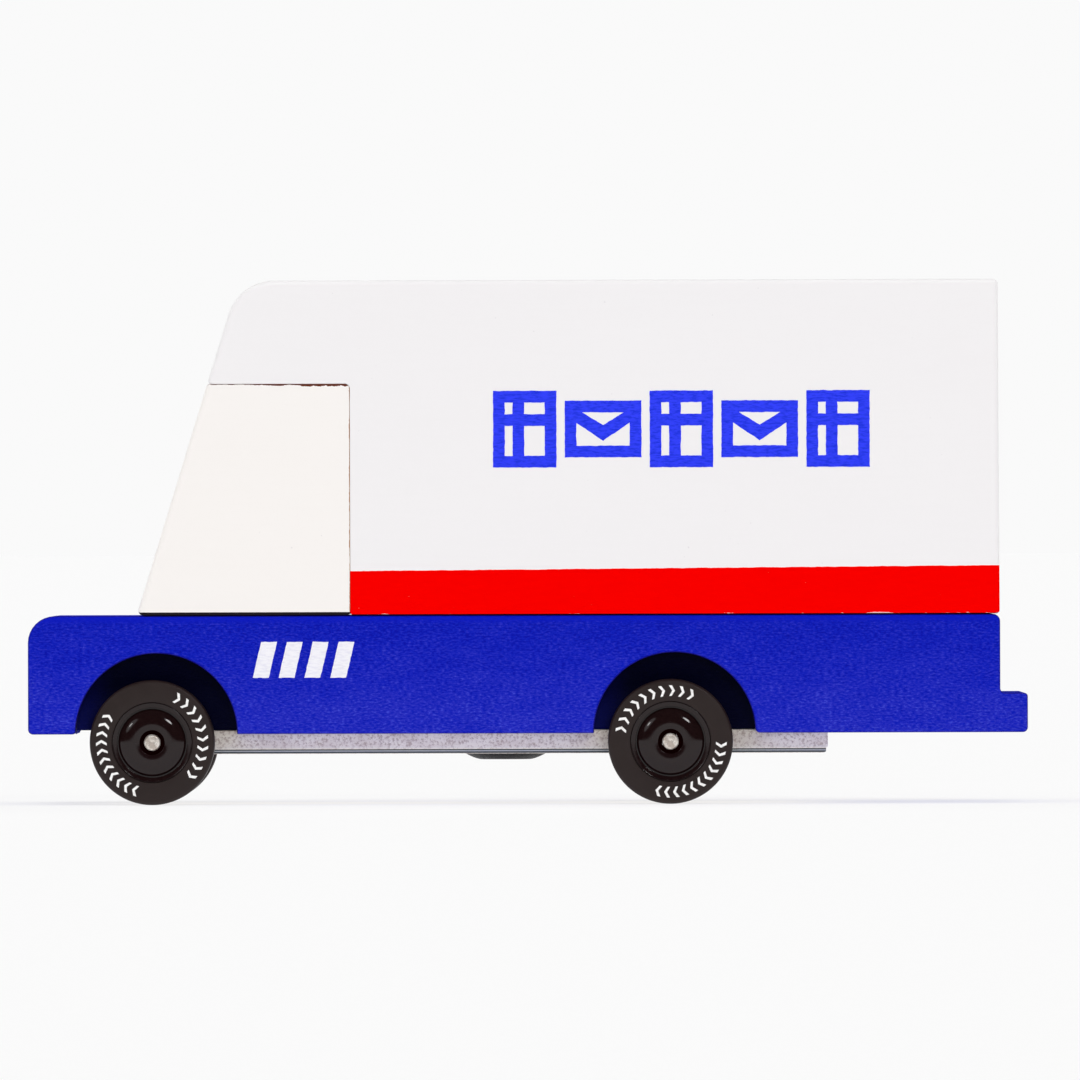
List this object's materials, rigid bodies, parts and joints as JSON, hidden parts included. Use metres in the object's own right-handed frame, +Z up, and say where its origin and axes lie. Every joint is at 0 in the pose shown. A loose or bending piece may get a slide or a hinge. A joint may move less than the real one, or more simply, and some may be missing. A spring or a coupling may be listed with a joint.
{
  "type": "toy mail delivery truck",
  "caption": "Small painted wooden toy delivery truck: hooded lower body, slanted cab, tall cargo box, cast chassis plate and free-spinning rubber-tyred wheelsets.",
  "frame": {"origin": "on the ground plane, below the middle of the bounding box, on the truck's middle plane", "axes": "+Z up, +X towards the rear bumper with the nose towards -X, +Y towards the truck's right side, axles along Y"},
  "size_m": [0.12, 0.0476, 0.0629],
  "materials": {
    "blue_paint": "wood under satin blue paint",
    "cream_paint": "wood under satin cream paint",
    "white_paint": "wood under satin white paint with a red band and a blue print",
    "bare_wood": "bare turned hardwood",
    "silver_casting": "silver, fine-grained as cast",
    "steel": "plain steel",
    "black_plastic": "glossy black moulding",
    "black_rubber": "satin black rubber with printed white marks"
  },
  "bodies": {
    "truck": {"lower_body": "blue_paint", "cab_block": "cream_paint", "cargo_box": "white_paint", "cab_dowel_left": "bare_wood", "cab_dowel_right": "bare_wood", "box_dowel_front": "bare_wood", "box_dowel_rear": "bare_wood", "chassis_plate": "silver_casting", "chassis_screw_front": "steel", "chassis_screw_centre": "steel", "chassis_screw_rear": "steel"},
    "front_wheelset": {"front_axle": "steel", "front_left_hub": "black_plastic", "front_left_tyre": "black_rubber", "front_right_hub": "black_plastic", "front_right_tyre": "black_rubber"},
    "rear_wheelset": {"rear_axle": "steel", "rear_left_hub": "black_plastic", "rear_left_tyre": "black_rubber", "rear_right_hub": "black_plastic", "rear_right_tyre": "black_rubber"}
  },
  "joints": [
    {"name": "front_axle_spin", "type": "hinge", "parent": "truck", "child": "front_wheelset", "pos_m": [-0.0451, 0, 0.0075], "axis": [0, -1, 0], "continuous": true},
    {"name": "rear_axle_spin", "type": "hinge", "parent": "truck", "child": "rear_wheelset", "pos_m": [0.0171, 0, 0.0075], "axis": [0, -1, 0], "continuous": true}
  ]
}
